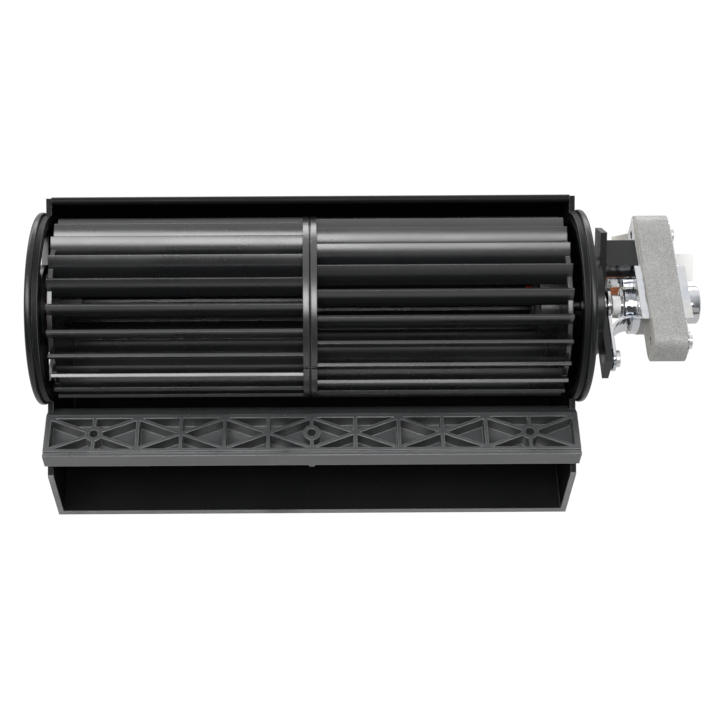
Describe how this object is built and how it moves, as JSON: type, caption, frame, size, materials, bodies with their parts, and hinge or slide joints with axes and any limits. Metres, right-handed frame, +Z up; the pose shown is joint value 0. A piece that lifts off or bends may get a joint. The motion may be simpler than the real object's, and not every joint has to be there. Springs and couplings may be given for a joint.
{
  "type": "cross flow fan",
  "caption": "Cross flow fan: long bladed drum in a scroll housing with a latticed outlet rail, driven by a small open-frame motor at one end.",
  "frame": {"origin": "underside of the duct floor at the housing's mid-length, below the wheel's axis", "axes": "+X along the wheel towards the motor, -Y out of the outlet, +Z up from the flat floor"},
  "size_m": [0.2381, 0.096, 0.095],
  "materials": {
    "wheel_plastic": "moulded black, satin",
    "housing_plastic": "moulded black, fine grain",
    "plate_plastic": "moulded dark grey-black",
    "silicone": "dark red silicone",
    "bronze": "sintered bronze",
    "shaft_steel": "ground bright steel",
    "lamination": "stacked electrical sheet, cut edges",
    "white_nylon": "moulded white nylon",
    "copper_wire": "enamelled copper",
    "tin_plate": "tin plated",
    "rotor_aluminium": "cast end rings",
    "black_rubber": "moulded rubber",
    "felt": "oiled felt",
    "zinc_plate": "bright zinc plated sheet",
    "screw_steel": "zinc plated screws",
    "red_clip": "red plastic"
  },
  "bodies": {
    "housing": {"scroll_housing": "housing_plastic", "stabiliser_rail": "housing_plastic", "left_end_plate": "plate_plastic", "right_end_plate": "plate_plastic", "left_bearing_mount": "silicone", "left_bearing": "bronze", "stator_core": "lamination", "coil_core": "lamination", "coil_bobbin": "white_nylon", "coil_winding": "copper_wire", "terminals": "tin_plate", "shading_rings": "copper_wire", "inner_bearing": "bronze", "outer_bearing": "bronze", "oil_felts": "felt", "inner_bearing_plate": "zinc_plate", "outer_bearing_plate": "zinc_plate", "motor_bracket": "zinc_plate", "motor_screws": "screw_steel", "bracket_screws": "screw_steel"},
    "wheel": {"left_impeller": "wheel_plastic", "right_impeller": "wheel_plastic", "stub_shaft": "shaft_steel", "rotor_core": "lamination", "rotor_rings": "rotor_aluminium", "motor_shaft": "shaft_steel", "shaft_collar": "white_nylon", "thrust_washers": "shaft_steel", "rubber_hub": "black_rubber", "balance_clip": "red_clip"}
  },
  "joints": [
    {"name": "wheel_spin", "type": "hinge", "parent": "housing", "child": "wheel", "pos_m": [0, 0, 0.061], "axis": [1, 0, 0], "continuous": true}
  ]
}
